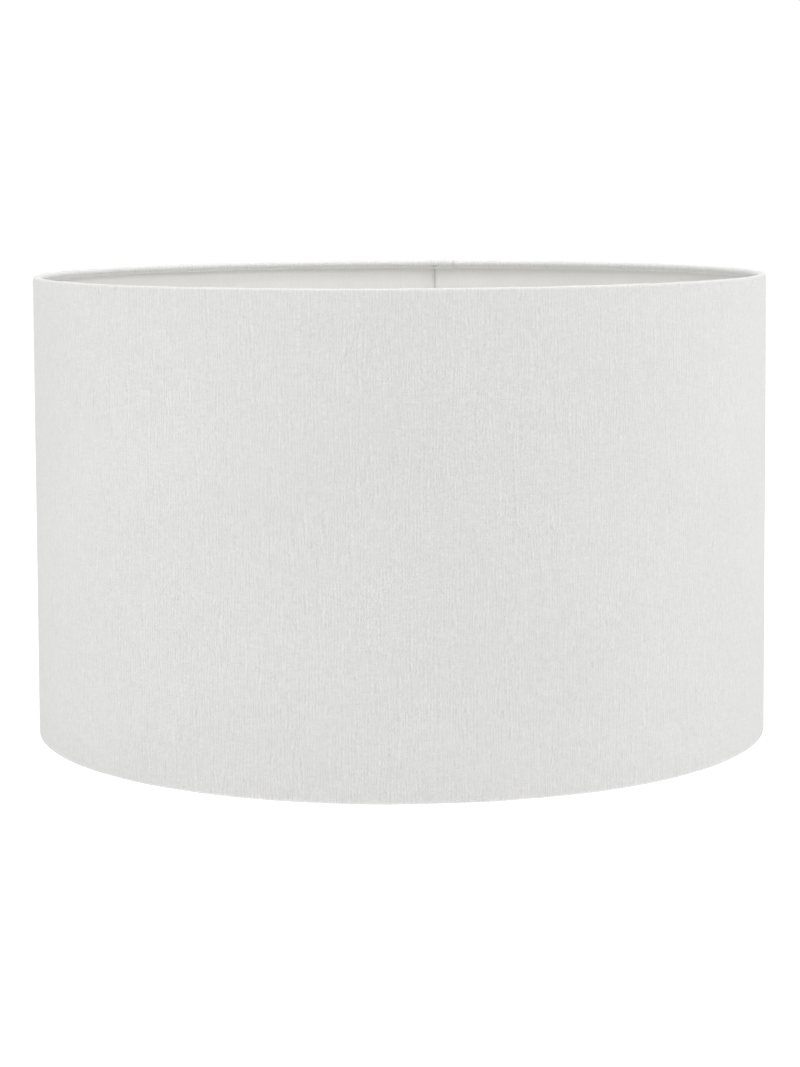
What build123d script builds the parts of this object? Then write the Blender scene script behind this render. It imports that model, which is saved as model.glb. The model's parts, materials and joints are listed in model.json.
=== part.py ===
from build123d import *
import os
from math import degrees

# A drum lamp shade, 400 mm across and 250 mm high, standing on its lower hem.
#
# One sheet of cloth, laminated to a thin translucent backing, is rolled into a drum and lapped at the
# back. Its top and bottom edges roll over two wire rings. Three bent wire arms rise from the bottom ring
# to a pressed washer, and a loose reducer ring lies in the washer to suit a smaller lamp holder.
#
# The frame is +Z up along the drum's axis, with the origin at the middle of the base. Lengths are in
# millimetres and angles in degrees.

# Driving dimensions: the sheet and the rings
shade_diameter = 400.0
shade_height = 250.0
cloth_thickness = 0.5
backing_thickness = 0.4
wire_diameter = 3.0
ring_tape_thickness = 0.2

# The lap: the sheet's inner end lies at seam_angle, and its outer end ramps up and passes over it
seam_angle = 83.7
seam_ramp_length = 12.0
seam_lap_length = 13.0
seam_tape_thickness = 0.1
seam_tape_margin = 3.6

# The arms: round wire, welded to the bottom ring and flattened under the washer
arm_count = 3
first_arm_angle = -90.0
arm_bend_radius = 8.0
weld_depth = 0.6
slit_clearance = 0.2
taper_start_radius = 33.0
tongue_start_radius = 29.5
tongue_end_radius = 22.6
tongue_width = 6.0
tongue_thickness = 1.5

# The fitter: a flat washer with its bore turned down into a collar
fitter_recess = 30.0
washer_bore_radius = 21.0
washer_outer_radius = 28.0
washer_thickness = 1.5
collar_thickness = 1.2
collar_depth = 2.0
washer_edge_radius = 0.5

# The reducer: a flat flange with a slotted and ribbed spigot below it
reducer_bore_radius = 14.75
flange_radius = 25.0
flange_thickness = 1.6
flange_edge_radius = 0.5
bore_chamfer = 0.4
spigot_radius = 20.4
spigot_wall = 1.4
spigot_depth = 3.0
rib_count = 8
rib_radius = 0.5
rib_clearance = 0.3
slot_count = 4
slot_width = 2.5
slot_depth = 2.2

# Worked out from the above: the layers of the wall, from the outside inwards
outer_radius = shade_diameter / 2
cloth_inner_radius = outer_radius - cloth_thickness
backing_inner_radius = cloth_inner_radius - backing_thickness
wire_radius = wire_diameter / 2
taped_radius = wire_radius + ring_tape_thickness
ring_radius = backing_inner_radius - taped_radius

# The hem's section is a half circle over the ring, and a quarter circle back under it
under_hem_radius = taped_radius + cloth_thickness
over_hem_radius = (outer_radius - (ring_radius - under_hem_radius)) / 2
over_hem_centre = outer_radius - over_hem_radius
ring_heights = {-1: over_hem_radius, 1: shade_height - over_hem_radius}
wall_height = ring_heights[1] - ring_heights[-1]

# The lap's angles, and the step that it climbs over the sheet's inner end and the tape
seam_ramp = degrees(seam_ramp_length / outer_radius)
seam_lap = degrees(seam_lap_length / outer_radius)
seam_step = cloth_thickness + backing_thickness + seam_tape_thickness

# The arms' feet touch the bottom ring from inside, and pass through slits in the hem
foot_radius = ring_radius - wire_diameter + weld_depth
foot_height = ring_heights[-1] - wire_radius
arm_height = fitter_recess - tongue_thickness / 2
slit_height = foot_height - slit_clearance
tape_gap = degrees((wire_diameter + 4 * slit_clearance) / ring_radius)
arm_angles = [first_arm_angle + 360 / arm_count * index for index in range(arm_count)]

# The reducer's flange rests on the washer
flange_height = fitter_recess + washer_thickness
rib_centre_radius = washer_bore_radius - rib_clearance - rib_radius


def rolled_band(inner_radius, outer_radius):
    """Draws the plan of a sheet rolled into a drum, with its outer end lapped over its inner end."""
    edges = []
    for radius in (inner_radius, outer_radius):
        turn = CenterArc((0, 0), radius, seam_angle, seam_ramp - 360)
        lap = CenterArc((0, 0), radius + seam_step, seam_angle, -seam_lap)
        Line(turn @ 1, lap @ 0)
        edges.append((turn, lap))
    (inner_turn, inner_lap), (outer_turn, outer_lap) = edges
    Line(inner_turn @ 0, outer_turn @ 0)
    Line(inner_lap @ 1, outer_lap @ 1)


def hem_section(side):
    """Draws the cloth's section where it rolls over a ring. side is 1 at the top and -1 at the bottom."""
    height = ring_heights[side]
    tuck_height = height - side * taped_radius
    outer_over = CenterArc((over_hem_centre, height), over_hem_radius, 0, side * 180)
    inner_over = CenterArc((over_hem_centre, height), over_hem_radius - cloth_thickness, 0, side * 180)
    outer_under = CenterArc((ring_radius, height), under_hem_radius, 180, side * 90)
    inner_under = CenterArc((ring_radius, height), taped_radius, 180, side * 90)
    Line(outer_over @ 0, inner_over @ 0)
    Polyline(
        outer_under @ 1,
        (backing_inner_radius, tuck_height - side * cloth_thickness),
        (backing_inner_radius, tuck_height),
        inner_under @ 1,
    )


# Cloth cover: the lapped wall with a hem rolled over each ring, and a slit for each arm's foot
with BuildPart() as fabric_cover:
    with BuildSketch(Plane.XY.offset(ring_heights[-1])):
        with BuildLine():
            rolled_band(cloth_inner_radius, outer_radius)
        make_face()
    extrude(amount=wall_height)
    for side in (-1, 1):
        with BuildSketch(Plane.XZ):
            with BuildLine():
                hem_section(side)
            make_face()
        revolve(axis=Axis.Z)
    with BuildSketch(Plane.XY.offset(slit_height)):
        with PolarLocations(foot_radius, arm_count, start_angle=first_arm_angle):
            Circle(wire_radius + slit_clearance)
    extrude(amount=arm_bend_radius, mode=Mode.SUBTRACT)

# Translucent backing panel, laminated to the inside of the wall between the rings
with BuildPart() as backing_panel:
    with BuildSketch(Plane.XY.offset(ring_heights[-1])):
        with BuildLine():
            rolled_band(backing_inner_radius, cloth_inner_radius)
        make_face()
    extrude(amount=wall_height)

# Adhesive tape inside the lap
with BuildPart() as seam_tape:
    with BuildSketch(Plane.XY.offset(ring_heights[-1] + seam_tape_margin)):
        with BuildLine():
            inner_tape = CenterArc((0, 0), outer_radius, seam_angle, -seam_lap)
            outer_tape = CenterArc((0, 0), outer_radius + seam_tape_thickness, seam_angle, -seam_lap)
            Line(inner_tape @ 0, outer_tape @ 0)
            Line(inner_tape @ 1, outer_tape @ 1)
        make_face()
    extrude(amount=wall_height - 2 * seam_tape_margin)

# Wire rings
with BuildPart() as top_ring:
    with BuildSketch(Plane.XZ):
        with Locations((ring_radius, ring_heights[1])):
            Circle(wire_radius)
    revolve(axis=Axis.Z)

with BuildPart() as bottom_ring:
    with BuildSketch(Plane.XZ):
        with Locations((ring_radius, ring_heights[-1])):
            Circle(wire_radius)
    revolve(axis=Axis.Z)

# Adhesive tape wrapped round each ring. The lower tape is in lengths, one between each two arms' feet
with BuildPart() as top_ring_tape:
    with BuildSketch(Plane.XZ):
        with Locations((ring_radius, ring_heights[1])):
            Circle(taped_radius)
            Circle(wire_radius, mode=Mode.SUBTRACT)
    revolve(axis=Axis.Z)

with BuildPart() as bottom_ring_tape:
    for angle in arm_angles:
        with BuildSketch(Plane.XZ.rotated((0, 0, angle + tape_gap / 2))):
            with Locations((ring_radius, ring_heights[-1])):
                Circle(taped_radius)
                Circle(wire_radius, mode=Mode.SUBTRACT)
        revolve(axis=Axis.Z, revolution_arc=360 / arm_count - tape_gap)

# Fitter washer: the pressed plate and its turned-down collar
with BuildPart() as fitter_washer:
    with BuildSketch(Plane.XZ):
        with BuildLine():
            Polyline(
                (washer_bore_radius, flange_height),
                (washer_outer_radius, flange_height),
                (washer_outer_radius, fitter_recess),
                (washer_bore_radius + collar_thickness, fitter_recess),
                (washer_bore_radius + collar_thickness, fitter_recess - collar_depth),
                (washer_bore_radius, fitter_recess - collar_depth),
                close=True,
            )
        washer_face = make_face()
        top_corners = washer_face.vertices().group_by(Axis.Y)[-1]
        fillet(top_corners, radius=washer_edge_radius)
    revolve(axis=Axis.Z)

# Spider arms: round wire from the bottom ring, drawn out to a flat tongue welded under the washer
spider_arms = []
for angle in arm_angles:
    arm_plane = Plane.XZ.rotated((0, 0, angle))
    with BuildPart() as spider_arm:
        with BuildLine(arm_plane) as arm_route:
            FilletPolyline(
                (foot_radius, foot_height),
                (foot_radius, arm_height),
                (taper_start_radius, arm_height),
                radius=arm_bend_radius,
            )
        route = arm_route.wire()
        with BuildSketch(Plane(origin=route @ 0, x_dir=arm_plane.x_dir, z_dir=route % 0)):
            Circle(wire_radius)
        sweep(path=route)
        inward = -arm_plane.x_dir
        taper_start = arm_plane.from_local_coords((taper_start_radius, arm_height, 0))
        tongue_start = arm_plane.from_local_coords((tongue_start_radius, arm_height, 0))
        with BuildSketch(Plane(origin=taper_start, x_dir=arm_plane.z_dir, z_dir=inward)):
            Circle(wire_radius)
        with BuildSketch(Plane(origin=tongue_start, x_dir=arm_plane.z_dir, z_dir=inward)):
            Rectangle(tongue_width, tongue_thickness)
        loft()
        with BuildSketch(Plane(origin=tongue_start, x_dir=arm_plane.z_dir, z_dir=inward)):
            Rectangle(tongue_width, tongue_thickness)
        extrude(amount=tongue_start_radius - tongue_end_radius)
        add(bottom_ring.part, mode=Mode.SUBTRACT)
    spider_arms.append(spider_arm)

# Reducer ring: flange, slotted spigot with crush ribs, and the lamp holder's bore
with BuildPart() as reducer_ring:
    with BuildSketch(Plane.XY.offset(flange_height)):
        Circle(flange_radius)
    extrude(amount=flange_thickness)
    fillet(reducer_ring.edges().group_by(Axis.Z)[-1], radius=flange_edge_radius)
    with BuildSketch(Plane.XY.offset(flange_height)):
        Circle(spigot_radius)
        with PolarLocations(rib_centre_radius, rib_count, start_angle=180 / rib_count):
            Circle(rib_radius)
        Circle(spigot_radius - spigot_wall, mode=Mode.SUBTRACT)
    extrude(amount=-spigot_depth)
    with BuildSketch(Plane.XY.offset(flange_height - spigot_depth)):
        with PolarLocations(spigot_radius, slot_count):
            Rectangle(2 * spigot_depth, slot_width)
    extrude(amount=slot_depth, mode=Mode.SUBTRACT)
    with Locations((0, 0, flange_height + flange_thickness)):
        Hole(reducer_bore_radius)
    bore_edges = reducer_ring.edges().filter_by(GeomType.CIRCLE).filter_by(
        lambda edge: abs(edge.radius - reducer_bore_radius) < 0.01
    )
    chamfer(bore_edges.sort_by(Axis.Z)[-1], length=bore_chamfer)

pieces = {
    "fabric_cover": fabric_cover,
    "backing_panel": backing_panel,
    "seam_tape": seam_tape,
    "top_ring": top_ring,
    "bottom_ring": bottom_ring,
    "top_ring_tape": top_ring_tape,
    "bottom_ring_tape": bottom_ring_tape,
    "fitter_washer": fitter_washer,
    "reducer_ring": reducer_ring,
}
for index, spider_arm in enumerate(spider_arms, start=1):
    pieces[f"spider_arm_{index}"] = spider_arm

os.makedirs("parts", exist_ok=True)
for name, piece in pieces.items():
    piece.part.label = name
    export_step(piece.part, f"parts/{name}.step")
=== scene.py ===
import json
from math import cos, exp, pi, radians, sin

import bmesh
import bpy
from mathutils import Euler, Matrix, Vector, noise


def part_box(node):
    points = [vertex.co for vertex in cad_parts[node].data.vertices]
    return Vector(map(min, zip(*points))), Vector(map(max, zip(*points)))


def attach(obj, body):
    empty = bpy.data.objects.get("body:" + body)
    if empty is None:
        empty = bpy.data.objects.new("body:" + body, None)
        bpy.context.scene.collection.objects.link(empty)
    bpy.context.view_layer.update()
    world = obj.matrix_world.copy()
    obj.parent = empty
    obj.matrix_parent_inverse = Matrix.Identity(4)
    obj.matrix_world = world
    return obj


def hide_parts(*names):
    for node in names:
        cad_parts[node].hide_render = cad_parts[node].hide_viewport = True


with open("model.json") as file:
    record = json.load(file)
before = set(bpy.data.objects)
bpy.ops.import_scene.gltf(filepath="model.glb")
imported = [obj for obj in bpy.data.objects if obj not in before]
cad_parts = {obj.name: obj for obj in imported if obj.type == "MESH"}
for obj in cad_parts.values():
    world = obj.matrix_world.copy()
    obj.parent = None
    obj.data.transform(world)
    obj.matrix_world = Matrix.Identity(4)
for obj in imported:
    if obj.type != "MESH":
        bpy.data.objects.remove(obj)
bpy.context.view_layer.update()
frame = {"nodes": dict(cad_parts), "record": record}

# Lengths are in metres and angles in radians, unless a name says otherwise.
MM = 0.001

# ---------------------------------------------------------------- sizes, from the frame and the CAD model
COVER_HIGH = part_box("fabric_cover")[1]
RADIUS = round(COVER_HIGH.x, 4)
HEIGHT = round(COVER_HIGH.z, 4)
CLOTH = 0.5 * MM
BACKING = 0.4 * MM
WIRE_RADIUS = 1.5 * MM
RING_TAPE = 0.2 * MM
SEAM_TAPE = 0.1 * MM
SEAM_ANGLE = radians(83.7)
SEAM_RAMP = 12 * MM / RADIUS
SEAM_LAP = 13 * MM / RADIUS
SEAM_STEP = CLOTH + BACKING + SEAM_TAPE
FULL_TURN = 2 * pi

# On the hem, the lap's free end is pressed down to this share of the cloth, within this length of its end
LAP_PRESS = 0.35
LAP_EDGE = 5 * MM

# At the base, the sheet's inner end lies on the lap, a cloth's thickness up, and comes down over this length
LAP_FADE = 6 * MM

# The layers of the wall and the rolled hem, as in the CAD model. MID values run down the cloth's middle
TAPED_RADIUS = WIRE_RADIUS + RING_TAPE
RING_RADIUS = RADIUS - CLOTH - BACKING - TAPED_RADIUS
OVER_RADIUS = (RADIUS - (RING_RADIUS - TAPED_RADIUS - CLOTH)) / 2
OVER_CENTRE = RADIUS - OVER_RADIUS
OVER_MID = OVER_RADIUS - CLOTH / 2
UNDER_MID = TAPED_RADIUS + CLOTH / 2
TUCK_MID_END = RADIUS - CLOTH - BACKING
LOW_RING = OVER_RADIUS
HIGH_RING = HEIGHT - OVER_RADIUS
ARM_ANGLES = [radians(angle) for angle in (-90, 30, 150)]
WELD_DEPTH = 0.6 * MM
SLIT_CLEARANCE = 0.2 * MM
FOOT_RADIUS = RING_RADIUS - 2 * WIRE_RADIUS + WELD_DEPTH
SLIT_HALF_WIDTH = WIRE_RADIUS + SLIT_CLEARANCE

# How far down the sheet from its upper edge the ring's inner side is, and the mark on it of the sheet's end
RING_SIDE_DOWN = TUCK_MID_END - RING_RADIUS + UNDER_MID * pi / 2
MARK_DOWN = RING_SIDE_DOWN - 0.6 * MM

# How the cloth differs from a true drum: heights, and lengths round the drum and up it
WAVE_HEIGHT, WAVE_LENGTH, WAVE_RISE = 0.22 * MM, 110 * MM, 200 * MM
RIPPLE_HEIGHT, RIPPLE_LENGTH, RIPPLE_RISE = 0.18 * MM, 28 * MM, 60 * MM
RIPPLE_REACH = 14 * MM
CRINKLE_HEIGHT, CRINKLE_LENGTH, CRINKLE_LEAN = 0.13 * MM, 7.5 * MM, 9 * MM

# How finely the sheets are divided, and how much closer together the wall's rows are beside the hems
TURN_STEPS = 480
LEAST_STEP = 0.8 * MM
WALL_STEPS = 44
WALL_CROWDING = 0.65
UNDER_STEPS = 7
OVER_STEPS = 9
RAMP_STEPS = 8

# The hem's outer quarter is squarer than a circle: 1 is a circle, and 0 is a square corner
FOLD_SQUARENESS = 0.62

# A slit for an arm's foot starts at this angle round the hem
SLIT_START = radians(115)


# ---------------------------------------------------------------- shader helpers
def new_material(name):
    """An empty node material: (material, tree, shader)."""
    material = bpy.data.materials.new(name)
    material.use_nodes = True
    tree = material.node_tree
    tree.nodes.clear()
    shader = tree.nodes.new("ShaderNodeBsdfPrincipled")
    output = tree.nodes.new("ShaderNodeOutputMaterial")
    tree.links.new(shader.outputs["BSDF"], output.inputs["Surface"])
    return material, tree, shader


def node(tree, kind, inputs, **settings):
    """A node with its settings, whose inputs are values or other nodes' outputs."""
    made = tree.nodes.new(kind)
    for name, value in settings.items():
        setattr(made, name, value)
    for name, value in inputs.items():
        if isinstance(value, bpy.types.NodeSocket):
            tree.links.new(value, made.inputs[name])
        else:
            made.inputs[name].default_value = value
    return made


def maths(tree, operation, first, second=0.0, third=0.0):
    """The result of one sum on values or outputs."""
    inputs = {0: first, 1: second, 2: third}
    return node(tree, "ShaderNodeMath", inputs, operation=operation).outputs[0]


def scaled(tree, vector, scale, offset):
    """A vector times a scale along each axis, plus an offset."""
    inputs = {"Vector": vector, "Scale": scale, "Location": offset}
    return node(tree, "ShaderNodeMapping", inputs).outputs["Vector"]


def noise_at(tree, vector, scale, detail, offset=(0, 0, 0)):
    """Noise whose grain is 1 / scale along each of the vector's axes."""
    inputs = {"Vector": scaled(tree, vector, scale, offset), "Scale": 1.0, "Detail": detail}
    return node(tree, "ShaderNodeTexNoise", inputs).outputs["Fac"]


def remap(tree, value, low, high, to_low=0.0, to_high=1.0):
    """A value moved from one range to another, and held at the new range's ends."""
    inputs = {"Value": value, "From Min": low, "From Max": high, "To Min": to_low, "To Max": to_high}
    return node(tree, "ShaderNodeMapRange", inputs).outputs["Result"]


def mixed(tree, factor, first, second):
    """A colour between two colours."""
    made = node(tree, "ShaderNodeMix", {}, data_type="RGBA")
    for socket, value in (("Factor_Float", factor), ("A_Color", first), ("B_Color", second)):
        target = next(s for s in made.inputs if s.identifier == socket)
        if isinstance(value, bpy.types.NodeSocket):
            tree.links.new(value, target)
        else:
            target.default_value = value
    return next(s for s in made.outputs if s.identifier == "Result_Color")


def bump(tree, height, distance, below=None):
    """Bumps of a height in metres, over the bumps below."""
    inputs = {"Height": height, "Strength": 1.0, "Distance": distance}
    if below is not None:
        inputs["Normal"] = below
    return node(tree, "ShaderNodeBump", inputs).outputs["Normal"]


def shade_of(red, green, blue):
    """An opaque colour."""
    return (red, green, blue, 1.0)


# ---------------------------------------------------------------- materials
# Each pair of colours is the darker and lighter end, or the clean and grimy end, of a surface's variation
CLOTH_COLOURS = (shade_of(0.70, 0.70, 0.688), shade_of(0.84, 0.84, 0.828))
LINING_COLOURS = (shade_of(0.84, 0.835, 0.82), shade_of(0.88, 0.875, 0.86))
COAT_COLOURS = (shade_of(0.76, 0.76, 0.75), shade_of(0.69, 0.685, 0.665))
PLASTIC_COLOURS = (shade_of(0.76, 0.755, 0.735), shade_of(0.80, 0.795, 0.78))
TAPE_COLOURS = (shade_of(0.76, 0.74, 0.68), shade_of(0.80, 0.785, 0.735))
FLECK = shade_of(0.62, 0.60, 0.56)
WORN_COAT = shade_of(0.50, 0.49, 0.47)
# Dark marks at the sheet's inner end: its edge, and painted shadow of the step it makes
SEAM_EDGE_AND_SHADOW = shade_of(0.25, 0.24, 0.22)

# The cloth on a ring's underside and the lining beside it are painted darker. This painted shade stands for
# the shadow under the rolled hem, and for the light that comes through the cloth elsewhere but not here
CLOTH_PAINTED_SHADE = shade_of(0.30, 0.29, 0.275)
LINING_PAINTED_SHADE = shade_of(0.32, 0.31, 0.295)
UNDER_RING_SHADE = 0.27
LINING_SHADE_START = 2.0 * MM
LINING_SHADE_END = 5.2 * MM

# The weave. A dash is a thread's width, the length of each light or dark stretch along it, and a seed
THREAD_PITCH = 0.55 * MM
SHORT_DASH = (0.6 * MM, 1.5 * MM, 41.0)
LONG_DASH = (0.65 * MM, 5.0 * MM, 97.5)
LEVEL_DASH = (0.65 * MM, 4.0 * MM, 63.3)
LONG_SHARE = 0.8
LEVEL_SHARE = 0.5
LINE_PITCH = 1.6 * MM
LINE_SHARE = 0.75

# Slow changes over the cloth, as noise with this much grain to the metre round the drum and up it
PATCH_GRAIN = (55, 35, 1)
DRIFT_GRAIN = (200, 30, 1)
LINE_FADE_GRAIN = (330, 480, 1)
CLOUD_GRAIN = (9, 14, 1)
FLECK_GRAIN = (1 / 1.1 / MM, 1 / 2.2 / MM, 1)
PATCH_RANGE = (0.38, 0.62)
UPRIGHT_IN_PATCHES = (0.6, 1.0)
LEVEL_IN_PATCHES = (1.4, 0.6)
LINE_DRIFT = 20.0
THREAD_DRIFT = 9.0

# How strongly the weave, the clouds and the single threads change the cloth's tone, and how high they stand
CLOTH_CONTRAST = 0.78
CLOUD_TONE = 0.3
THREAD_TONE = 0.10
FLECK_TONE = 0.35
SLUB_BUMP = 0.06 * MM
THREAD_BUMP = 0.05 * MM

# The dark marks of the sheet's inner end, its edge and the painted shadow of its step: half widths of the bar
# and the lines, and how strongly they show
BAR_HALF_LENGTH = 1.3 * MM
BAR_HALF_WIDTH = 0.2 * MM
LINING_LINE_HALF_WIDTH = 0.3 * MM
SEAM_EDGE_AND_SHADOW_SHOWS = 0.5


def hump(tree, share):
    """0 at both ends of a share's run from 0 to 1, and 1 in its middle."""
    falling = maths(tree, "SUBTRACT", 4.0, maths(tree, "MULTIPLY", share, 4.0))
    return maths(tree, "MULTIPLY", share, falling)


def dashes(tree, across, along, dash):
    """Threads side by side, each broken into light and dark dashes with rounded sides and ends, about 0."""
    width, length, seed = dash
    place = maths(tree, "MULTIPLY_ADD", across, 1 / width, seed)
    thread = maths(tree, "FLOOR", place)
    start = node(tree, "ShaderNodeTexWhiteNoise", {"W": thread}, noise_dimensions="1D").outputs["Value"]
    run = maths(tree, "MULTIPLY_ADD", along, 1 / length, maths(tree, "MULTIPLY", start, seed))
    spot = node(tree, "ShaderNodeCombineXYZ", {"X": thread, "Y": maths(tree, "FLOOR", run)}).outputs["Vector"]
    tone = node(tree, "ShaderNodeTexWhiteNoise", {"Vector": spot}, noise_dimensions="2D").outputs["Value"]
    tone = maths(tree, "SUBTRACT", tone, 0.5)
    for position in (place, run):
        tone = maths(tree, "MULTIPLY", tone, hump(tree, maths(tree, "FRACT", position)))
    return tone


def weave(tree):
    """The cloth's threads in the sheet's own flat coordinates: (dashes, threads), both about 0."""
    flat = node(tree, "ShaderNodeUVMap", {}, uv_map="sheet").outputs["UV"]
    split = node(tree, "ShaderNodeSeparateXYZ", {"Vector": flat})
    round_drum, up_drum = split.outputs["X"], split.outputs["Y"]
    short_dashes = dashes(tree, round_drum, up_drum, SHORT_DASH)
    long_dashes = dashes(tree, round_drum, up_drum, LONG_DASH)
    level_dashes = dashes(tree, up_drum, round_drum, LEVEL_DASH)
    patches = noise_at(tree, flat, PATCH_GRAIN, 2.0, (3, 31, 0))
    drift = maths(tree, "MULTIPLY", noise_at(tree, flat, DRIFT_GRAIN, 1.0, (2, 77, 0)), LINE_DRIFT)
    line_phase = maths(tree, "MULTIPLY_ADD", round_drum, FULL_TURN / LINE_PITCH, drift)
    line_strength = remap(tree, noise_at(tree, flat, LINE_FADE_GRAIN, 1.0, (9, 4, 0)), 0.4, 0.7)
    lines = maths(tree, "MULTIPLY", maths(tree, "SINE", line_phase), line_strength)
    upright_share = remap(tree, patches, *PATCH_RANGE, *UPRIGHT_IN_PATCHES)
    level_share = remap(tree, patches, *PATCH_RANGE, *(LEVEL_SHARE * part for part in LEVEL_IN_PATCHES))
    upright = maths(tree, "MULTIPLY_ADD", long_dashes, LONG_SHARE, short_dashes)
    upright = maths(tree, "MULTIPLY_ADD", lines, LINE_SHARE, upright)
    upright = maths(tree, "MULTIPLY", upright, upright_share)
    streaks = maths(tree, "MULTIPLY_ADD", level_dashes, level_share, upright)
    waves = []
    for position in (round_drum, up_drum):
        shift = maths(tree, "MULTIPLY", patches, THREAD_DRIFT)
        phase = maths(tree, "MULTIPLY_ADD", position, pi / THREAD_PITCH, shift)
        waves.append(maths(tree, "SINE", phase))
    threads = maths(tree, "MULTIPLY", waves[0], waves[1])
    return streaks, threads


def near(tree, value, middle, reach):
    """1 where a value is within reach of a middle, falling softly to 0 at twice the reach."""
    away = maths(tree, "ABSOLUTE", maths(tree, "SUBTRACT", value, middle))
    return remap(tree, away, reach, 2 * reach, 1.0, 0.0)


def seam_edge_and_shadow(tree, flat):
    """The clipped corner of the sheet's inner end, as dark marks of its edge and painted shadow of its step:
    a short bar inside the top hem, and the line below it.
    """
    split = node(tree, "ShaderNodeSeparateXYZ", {"Vector": flat})
    across, down = split.outputs["X"], split.outputs["Y"]
    bar_along = near(tree, across, FULL_TURN * RADIUS, BAR_HALF_LENGTH)
    bar = maths(tree, "MULTIPLY", bar_along, near(tree, down, MARK_DOWN, BAR_HALF_WIDTH))
    stem_length = remap(tree, down, MARK_DOWN, MARK_DOWN + 0.1 * MM, 1.0, 0.0)
    stem = maths(tree, "MULTIPLY", near(tree, across, FULL_TURN * RADIUS, BAR_HALF_WIDTH), stem_length)
    return maths(tree, "MAXIMUM", bar, stem)


def cloth_material():
    """White plain-woven cotton and linen, with thick and thin threads both ways."""
    material, tree, shader = new_material("slub_cloth")
    streaks, threads = weave(tree)
    flat = node(tree, "ShaderNodeUVMap", {}, uv_map="sheet").outputs["UV"]
    clouds = noise_at(tree, flat, CLOUD_GRAIN, 3.0, (41, 2, 0))
    flecks = remap(tree, noise_at(tree, flat, FLECK_GRAIN, 1.0, (8, 90, 0)), 0.76, 0.82)
    tone = maths(tree, "MULTIPLY_ADD", streaks, CLOTH_CONTRAST, 0.5)
    tone = maths(tree, "MULTIPLY_ADD", maths(tree, "SUBTRACT", clouds, 0.5), CLOUD_TONE, tone)
    tone = maths(tree, "MULTIPLY_ADD", threads, THREAD_TONE, tone)
    colour = mixed(tree, tone, *CLOTH_COLOURS)
    colour = mixed(tree, maths(tree, "MULTIPLY", flecks, FLECK_TONE), colour, FLECK)
    # Painted shade on the cloth round the top ring's underside
    down = node(tree, "ShaderNodeSeparateXYZ", {"Vector": flat}).outputs["Y"]
    shade_ends = (RING_SIDE_DOWN - 0.4 * MM, RING_SIDE_DOWN + 2.0 * MM)
    painted_ring_shade = remap(tree, down, *shade_ends, UNDER_RING_SHADE, 0.0)
    colour = mixed(tree, painted_ring_shade, colour, CLOTH_PAINTED_SHADE)
    # Painted shadow of the step at the sheet's inner end, over the cloth's own colour
    colour = mixed(tree, maths(tree, "MULTIPLY", seam_edge_and_shadow(tree, flat), SEAM_EDGE_AND_SHADOW_SHOWS), colour, SEAM_EDGE_AND_SHADOW)
    tree.links.new(colour, shader.inputs["Base Color"])
    weave_bump = bump(tree, threads, THREAD_BUMP)
    slub_bump = bump(tree, streaks, SLUB_BUMP, weave_bump)
    tree.links.new(slub_bump, shader.inputs["Normal"])
    shader.inputs["Roughness"].default_value = 0.92
    shader.inputs["Specular IOR Level"].default_value = 0.25
    shader.inputs["Sheen Weight"].default_value = 0.12
    shader.inputs["Sheen Roughness"].default_value = 0.5
    return material


def lining_material():
    """The translucent laminate on the inside, with the cloth's threads showing faintly through it."""
    material, tree, shader = new_material("laminate_lining")
    streaks, _ = weave(tree)
    flat = node(tree, "ShaderNodeUVMap", {}, uv_map="sheet").outputs["UV"]
    clouds = noise_at(tree, flat, (12, 12, 1), 3.0, (4, 8, 0))
    tone = maths(tree, "MULTIPLY_ADD", streaks, 0.9, 0.5)
    tone = maths(tree, "MULTIPLY_ADD", maths(tree, "SUBTRACT", clouds, 0.5), 0.5, tone)
    colour = mixed(tree, tone, *LINING_COLOURS)
    # Painted shade on the lining just below the top ring
    split = node(tree, "ShaderNodeSeparateXYZ", {"Vector": flat})
    painted_lining_shade = remap(tree, split.outputs["Y"], LINING_SHADE_START, LINING_SHADE_END, UNDER_RING_SHADE, 0.0)
    colour = mixed(tree, painted_lining_shade, colour, LINING_PAINTED_SHADE)
    # Painted shadow along the lining's end edge, where its step lies over the layer beneath
    end_edge_and_shadow = near(tree, split.outputs["X"], 0.0, LINING_LINE_HALF_WIDTH)
    colour = mixed(tree, maths(tree, "MULTIPLY", end_edge_and_shadow, SEAM_EDGE_AND_SHADOW_SHOWS), colour, SEAM_EDGE_AND_SHADOW)
    tree.links.new(colour, shader.inputs["Base Color"])
    grain = noise_at(tree, flat, (2500, 2500, 1), 2.0)
    grain_bump = bump(tree, grain, 0.02 * MM)
    tree.links.new(bump(tree, streaks, 0.08 * MM, grain_bump), shader.inputs["Normal"])
    roughness = remap(tree, clouds, 0.3, 0.7, 0.50, 0.64)
    tree.links.new(roughness, shader.inputs["Roughness"])
    shader.inputs["Specular IOR Level"].default_value = 0.35
    return material


def powder_coat_material():
    """White powder coat on steel wire: orange peel, a little grime and a few worn specks."""
    material, tree, shader = new_material("powder_coat")
    place = node(tree, "ShaderNodeTexCoord", {}).outputs["Object"]
    peel = noise_at(tree, place, (900, 900, 900), 2.0)
    grime = noise_at(tree, place, (70, 70, 70), 4.0, (5, 1, 3))
    specks = remap(tree, noise_at(tree, place, (420, 420, 420), 1.0, (9, 9, 2)), 0.74, 0.80)
    colour = mixed(tree, remap(tree, grime, 0.35, 0.75), *COAT_COLOURS)
    colour = mixed(tree, maths(tree, "MULTIPLY", specks, 0.5), colour, WORN_COAT)
    tree.links.new(colour, shader.inputs["Base Color"])
    tree.links.new(remap(tree, grime, 0.3, 0.7, 0.30, 0.44), shader.inputs["Roughness"])
    tree.links.new(bump(tree, peel, 0.06 * MM), shader.inputs["Normal"])
    return material


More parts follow.
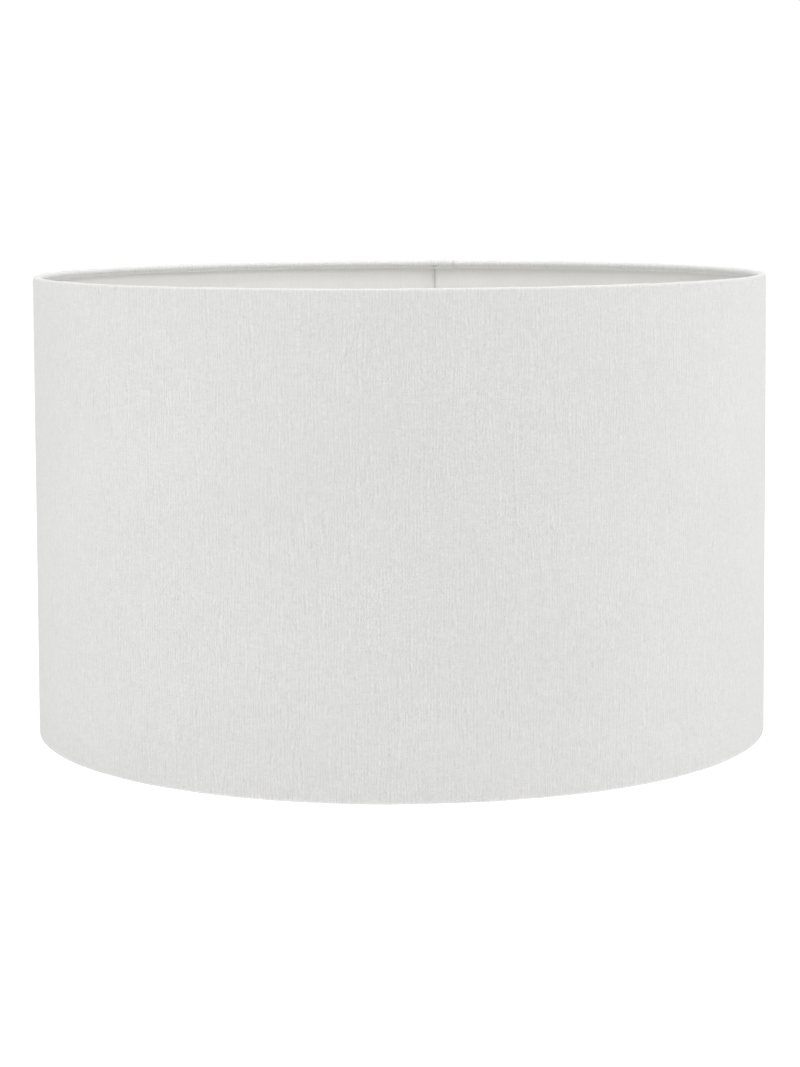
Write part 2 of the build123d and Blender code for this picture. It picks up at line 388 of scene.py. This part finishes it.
def moulded_plastic_material():
    """Satin white moulded plastic, with a fine spark texture and faint flow marks."""
    material, tree, shader = new_material("moulded_plastic")
    place = node(tree, "ShaderNodeTexCoord", {}).outputs["Object"]
    spark = noise_at(tree, place, (3200, 3200, 3200), 2.0)
    flow = noise_at(tree, place, (120, 120, 30), 3.0, (2, 7, 1))
    colour = mixed(tree, remap(tree, flow, 0.3, 0.7), *PLASTIC_COLOURS)
    tree.links.new(colour, shader.inputs["Base Color"])
    tree.links.new(remap(tree, flow, 0.3, 0.7, 0.36, 0.48), shader.inputs["Roughness"])
    tree.links.new(bump(tree, spark, 0.02 * MM), shader.inputs["Normal"])
    return material


def tape_material():
    """Clear double-sided tape, slightly yellow, with the fine grain of its carrier."""
    material, tree, shader = new_material("adhesive_tape")
    place = node(tree, "ShaderNodeTexCoord", {}).outputs["Object"]
    grain = noise_at(tree, place, (1500, 1500, 200), 2.0)
    colour = mixed(tree, remap(tree, grain, 0.3, 0.7), *TAPE_COLOURS)
    tree.links.new(colour, shader.inputs["Base Color"])
    tree.links.new(bump(tree, grain, 0.02 * MM), shader.inputs["Normal"])
    shader.inputs["Roughness"].default_value = 0.4
    return material


# ---------------------------------------------------------------- the rolled sheets
SHEET_TURN = FULL_TURN + SEAM_LAP


def eased(share):
    """0 to 1, with a soft start and end."""
    share = min(max(share, 0.0), 1.0)
    return share * share * (3 - 2 * share)


def arc(centre, radius, start, end, steps):
    """Points (radius, height) along an arc about (centre, 0), without the first."""
    angles = [start + (end - start) * step / steps for step in range(1, steps + 1)]
    return [(centre + radius * cos(angle), radius * sin(angle)) for angle in angles]


def crisp_fold(steps):
    """The outer quarter of the fold over a ring, from its crest to the wall, squarer than a true arc."""
    points = []
    for step in range(1, steps + 1):
        angle = pi / 2 * (1 - step / steps)
        across = abs(cos(angle)) ** FOLD_SQUARENESS
        rise = abs(sin(angle)) ** FOLD_SQUARENESS if step < steps else 0
        points.append((OVER_CENTRE + OVER_MID * across, OVER_MID * rise))
    return points


def hem_points():
    """The cloth's middle line round one ring, from the tuck to the wall: (radius, height above the ring)."""
    points = [(TUCK_MID_END, -UNDER_MID), (RING_RADIUS, -UNDER_MID)]
    points += arc(RING_RADIUS, UNDER_MID, 1.5 * pi, pi, UNDER_STEPS)
    points += arc(OVER_CENTRE, OVER_MID, pi, pi / 2, OVER_STEPS)
    points += crisp_fold(OVER_STEPS)
    return points


def wall_heights():
    """Heights down the wall, closer together beside the hems."""
    heights = []
    for step in range(WALL_STEPS + 1):
        share = step / WALL_STEPS
        share = (1 - WALL_CROWDING) * share + WALL_CROWDING * (1 - cos(pi * share)) / 2
        heights.append(HIGH_RING + (LOW_RING - HIGH_RING) * share)
    return heights


def with_normals(points):
    """Rows of (radius, height, outward normal, distance along the sheet) from points down a profile."""
    rows = []
    distance = 0.0
    for index, (radius, height) in enumerate(points):
        before = points[max(index - 1, 0)]
        after = points[min(index + 1, len(points) - 1)]
        along = Vector((after[0] - before[0], after[1] - before[1])).normalized()
        if index:
            distance += Vector((radius - before[0], height - before[1])).length
        rows.append((radius, height, (-along.y, along.x), distance))
    return rows


def cloth_rows():
    hem = hem_points()
    top = [(radius, HIGH_RING + height) for radius, height in hem[:-1]]
    wall = [(RADIUS - CLOTH / 2, height) for height in wall_heights()]
    bottom = [(radius, LOW_RING - height) for radius, height in reversed(hem[:-1])]
    return with_normals(top + wall + bottom)


def lining_rows():
    return with_normals([(RADIUS - CLOTH - BACKING / 2, height) for height in wall_heights()])


def slit_edges():
    """The angles turned through, from the sheet's inner end, at each slit's two edges."""
    half = SLIT_HALF_WIDTH / FOOT_RADIUS
    turns = [(SEAM_ANGLE - angle) % FULL_TURN for angle in ARM_ANGLES]
    return [(turn - half, turn + half) for turn in turns]


def sheet_turns():
    """Angles turned through along the sheet: even steps, and steps at the slits and up the seam's ramp."""
    marks = [0.0, SEAM_LAP, SHEET_TURN]
    for low, high in slit_edges():
        marks += [low, high]
    marks += [FULL_TURN - SEAM_RAMP * step / RAMP_STEPS for step in range(RAMP_STEPS + 1)]
    apart = LEAST_STEP / RADIUS
    turns = [SHEET_TURN * step / TURN_STEPS for step in range(TURN_STEPS + 1)]
    turns = [turn for turn in turns if all(abs(turn - mark) > apart for mark in marks)]
    return sorted(turns + marks)


def uneven(angle, height, hem):
    """How far the sheet stands off its true shape: long waves, ripples beside the hems, crinkles on them."""
    x, y = RADIUS * cos(angle), RADIUS * sin(angle)
    edge = min(HIGH_RING - height, height - LOW_RING)
    wave = noise.noise(Vector((x / WAVE_LENGTH, y / WAVE_LENGTH, height / WAVE_RISE)))
    ripple = noise.noise(Vector((x / RIPPLE_LENGTH, y / RIPPLE_LENGTH, height / RIPPLE_RISE + 7)))
    lean = height / CRINKLE_LEAN
    crinkle = noise.noise(Vector((x / CRINKLE_LENGTH + lean, y / CRINKLE_LENGTH - lean, 3)))
    beside_hem = exp(-max(edge, 0) / RIPPLE_REACH)
    return WAVE_HEIGHT * wave + RIPPLE_HEIGHT * ripple * beside_hem + CRINKLE_HEIGHT * crinkle * hem


def sheet_point(turn, row):
    """Where a point of the sheet lies, in the row frame."""
    radius, height, (normal_r, normal_z), _ = row
    angle = SEAM_ANGLE - turn
    outside = normal_r > 0.999
    hem = 0.0 if outside else eased(1 - normal_r)
    climb = eased((turn - FULL_TURN + SEAM_RAMP) / SEAM_RAMP)
    pressed = 1 - (1 - LAP_PRESS) * eased(1 - (SHEET_TURN - turn) * RADIUS / LAP_EDGE)
    hem_step = CLOTH * pressed
    stand_off = climb * (SEAM_STEP + (hem_step - SEAM_STEP) * eased(1 - normal_r))
    stand_off += uneven(angle, height, hem)
    radius += normal_r * stand_off
    height += normal_z * stand_off
    on_lap = 1 - eased((turn - SEAM_LAP) / (LAP_FADE / RADIUS))
    lowest = CLOTH / 2 * (1 + on_lap)
    return Vector((radius * cos(angle), radius * sin(angle), max(height, lowest)))


def build_sheet(name, rows, thickness, skip=None):
    """A sheet rolled into the drum, as a mesh with its flat coordinates, thickened both ways."""
    turns = sheet_turns()
    vertices = [sheet_point(turn, row) for turn in turns for row in rows]
    faces = []
    for column in range(len(turns) - 1):
        middle = (turns[column] + turns[column + 1]) / 2
        for line in range(len(rows) - 1):
            if skip and skip(middle, rows[line], rows[line + 1]):
                continue
            corner = column * len(rows) + line
            faces.append((corner, corner + len(rows), corner + len(rows) + 1, corner + 1))
    mesh = bpy.data.meshes.new(name)
    mesh.from_pydata(vertices, [], faces)
    flat = mesh.uv_layers.new(name="sheet")
    for loop in mesh.loops:
        column, line = divmod(loop.vertex_index, len(rows))
        flat.data[loop.index].uv = (turns[column] * RADIUS, rows[line][3])
    mesh.polygons.foreach_set("use_smooth", [True] * len(mesh.polygons))
    sheet = bpy.data.objects.new(name, mesh)
    bpy.context.collection.objects.link(sheet)
    thick = sheet.modifiers.new("thickness", "SOLIDIFY")
    thick.thickness = thickness
    thick.offset = 0.0
    thick.use_even_offset = True
    return sheet


def in_slit(turn, upper, lower):
    """True for the part of the lower hem that is slit for an arm's foot."""
    if not any(low < turn < high for low, high in slit_edges()):
        return False
    middle = (upper[0] + lower[0]) / 2
    return upper[1] < LOW_RING + 2 * UNDER_MID and middle < OVER_CENTRE + OVER_MID * cos(SLIT_START)


cloth = build_sheet("cloth_cover", cloth_rows(), CLOTH, in_slit)
cloth.data.materials.append(cloth_material())
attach(cloth, "shade")
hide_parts("fabric_cover")
flat_width = round(cloth_rows()[-1][3], 3)

lining = build_sheet("lining", lining_rows(), BACKING)
lining.data.materials.append(lining_material())
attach(lining, "shade")
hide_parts("backing_panel")

# ---------------------------------------------------------------- the spot welds on the washer
WELD_RADIUS = 1.3 * MM
WELD_RISE = 0.14 * MM
WELD_STEPS = 28
# The mark's section from its middle outwards: (share of the radius, share of the rise)
WELD_PROFILE = ((0.45, 0.25), (0.62, 0.4), (0.74, 0.95), (0.84, 1.0), (0.94, 0.6), (1.0, -0.3), (0.9, -1.5))
TONGUE_UNDERSIDE = 28.5 * MM
WASHER_TOP = 31.5 * MM
WELD_PLACE = 26.4 * MM


def build_spot_welds():
    """The round dents of the welding tips, under each arm's tongue and on the washer above it."""
    mesh = bpy.data.meshes.new("spot_weld_marks")
    shape = bmesh.new()
    spots = [FULL_TURN * step / WELD_STEPS for step in range(WELD_STEPS)]
    for angle in ARM_ANGLES:
        for height, facing in ((TONGUE_UNDERSIDE, -1), (WASHER_TOP, 1)):
            middle = Vector((WELD_PLACE * cos(angle), WELD_PLACE * sin(angle), height))
            rings = []
            for share, rise in WELD_PROFILE:
                reach = share * WELD_RADIUS
                centre = middle + Vector((0, 0, facing * rise * WELD_RISE))
                ring = [centre + Vector((reach * cos(spot), reach * sin(spot), 0)) for spot in spots]
                rings.append([shape.verts.new(place) for place in ring])
            for inner, outer in zip(rings, rings[1:]):
                for step in range(WELD_STEPS):
                    after = (step + 1) % WELD_STEPS
                    shape.faces.new((inner[step], outer[step], outer[after], inner[after]))
            shape.faces.new(rings[0])
            shape.faces.new(rings[-1])
    bmesh.ops.recalc_face_normals(shape, faces=shape.faces)
    shape.to_mesh(mesh)
    shape.free()
    mesh.polygons.foreach_set("use_smooth", [len(polygon.vertices) == 4 for polygon in mesh.polygons])
    marks = bpy.data.objects.new("spot_weld_marks", mesh)
    bpy.context.collection.objects.link(marks)
    return marks


powder_coat = powder_coat_material()
welds = build_spot_welds()
welds.data.materials.append(powder_coat)
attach(welds, "shade")

# ---------------------------------------------------------------- the CAD nodes that stay
FINISHES = {
    "frame_wire": powder_coat,
    "adhesive_tape": tape_material(),
    "reducer_plastic": moulded_plastic_material(),
}
for subpart in frame["record"]["subparts"]:
    finish = FINISHES.get(subpart["material_slot"])
    if finish:
        piece = frame["nodes"][subpart["node"]]
        piece.data.materials.clear()
        piece.data.materials.append(finish)

# ---------------------------------------------------------------- floor, light and camera
WHITE = shade_of(1, 1, 1)
WORLD_LIGHT = 0.30
BACKDROP_GLOW = 1.02

# The floor's own glow, and how bright it looks within the drum, where the frame is seen against it. The
# change of tone lies under the bottom ring
FLOOR_REACH = 40.0
FLOOR_COLOUR = shade_of(0.45, 0.45, 0.45)
FLOOR_GLOW = 0.87
INSIDE_GLOW = 0.10
INSIDE_END = RADIUS - 4 * MM
OUTSIDE_START = RADIUS - 2 * MM

# The soft lights: (name, azimuth and elevation in degrees, distance, target, size, watts). An azimuth is from
# the front, positive to the right
RIM = (0, 0, HEIGHT)
HIGH_MID = (0, 0, HEIGHT * 0.8)
MID = (0, 0, HEIGHT / 2)
SOFTBOXES = (
    ("softbox_top", 0, 90, 1.35, RIM, (1.4, 1.4), 17.7),
    ("softbox_key", 55, 35, 1.7, RIM, (0.9, 0.5), 3.9),
    ("softbox_fill", -35, 60, 1.5, RIM, (0.9, 0.6), 3.4),
    ("softbox_right", 90, 20, 1.5, MID, (0.6, 0.9), 2.2),
    ("softbox_left", -90, 20, 1.5, MID, (0.6, 0.9), 0.8),
    ("softbox_strip", -44, 0, 0.56, HIGH_MID, (0.08, 0.5), 0.18),
)

# The camera looks slightly down from a little above the rim. Angles are in radians
CAMERA_DISTANCE = 7.423 * RADIUS
CAMERA_HEIGHT = HEIGHT + 0.28 * RADIUS
CAMERA_PITCH = 0.075
CAMERA_ROLL = -0.0051
CAMERA_LENS = 91.0
CAMERA_SENSOR = 36.0
CAMERA_SHIFT = -0.15


def build_floor():
    """A plain white floor, bright enough to run into the white behind it."""
    mesh = bpy.data.meshes.new("floor")
    side = FLOOR_REACH
    corners = [(-side, -side, 0), (side, -side, 0), (side, side, 0), (-side, side, 0)]
    mesh.from_pydata(corners, [], [(0, 1, 2, 3)])
    floor = bpy.data.objects.new("floor", mesh)
    bpy.context.collection.objects.link(floor)
    material, tree, shader = new_material("floor_white")
    shader.inputs["Base Color"].default_value = FLOOR_COLOUR
    shader.inputs["Roughness"].default_value = 1.0
    shader.inputs["Specular IOR Level"].default_value = 0.0
    shader.inputs["Emission Color"].default_value = WHITE
    place = node(tree, "ShaderNodeNewGeometry", {}).outputs["Position"]
    from_axis = node(tree, "ShaderNodeVectorMath", {0: place}, operation="LENGTH").outputs["Value"]
    seen = node(tree, "ShaderNodeLightPath", {}).outputs["Is Camera Ray"]
    inside = remap(tree, seen, 0.0, 1.0, FLOOR_GLOW, INSIDE_GLOW)
    glow = remap(tree, from_axis, INSIDE_END, OUTSIDE_START, inside, FLOOR_GLOW)
    tree.links.new(glow, shader.inputs["Emission Strength"])
    mesh.materials.append(material)


def build_world():
    """Even white light all round, and a plain white backdrop behind the object."""
    world = bpy.data.worlds.new("studio")
    bpy.context.scene.world = world
    world.use_nodes = True
    tree = world.node_tree
    tree.nodes.clear()
    seen = node(tree, "ShaderNodeLightPath", {}).outputs["Is Camera Ray"]
    strength = remap(tree, seen, 0.0, 1.0, WORLD_LIGHT, BACKDROP_GLOW)
    background = node(tree, "ShaderNodeBackground", {"Color": WHITE, "Strength": strength})
    output = tree.nodes.new("ShaderNodeOutputWorld")
    tree.links.new(background.outputs["Background"], output.inputs["Surface"])


def add_softbox(name, azimuth, elevation, distance, target, size, power):
    """A rectangular soft light that the camera doesn't see."""
    angle, rise = radians(azimuth), radians(elevation)
    direction = Vector((sin(angle) * cos(rise), -cos(angle) * cos(rise), sin(rise)))
    light = bpy.data.lights.new(name, "AREA")
    light.shape = "RECTANGLE"
    light.size, light.size_y = size
    light.energy = power
    lamp = bpy.data.objects.new(name, light)
    place = Vector(target) + direction * distance
    lamp.location = place
    lamp.rotation_euler = (Vector(target) - place).to_track_quat("-Z", "Y").to_euler()
    lamp.visible_camera = False
    bpy.context.collection.objects.link(lamp)


def add_camera():
    """The photograph's view."""
    camera_data = bpy.data.cameras.new("camera")
    camera_data.lens = CAMERA_LENS
    camera_data.sensor_width = CAMERA_SENSOR
    camera_data.shift_y = CAMERA_SHIFT
    camera = bpy.data.objects.new("camera", camera_data)
    camera.location = (0, -CAMERA_DISTANCE, CAMERA_HEIGHT)
    looking = Euler((pi / 2 - CAMERA_PITCH, 0, 0)).to_matrix() @ Matrix.Rotation(CAMERA_ROLL, 3, "Z")
    camera.rotation_euler = looking.to_euler()
    bpy.context.collection.objects.link(camera)
    bpy.context.scene.camera = camera


build_floor()
build_world()
for softbox in SOFTBOXES:
    add_softbox(*softbox)
add_camera()
bpy.context.scene.view_settings.view_transform = "Standard"
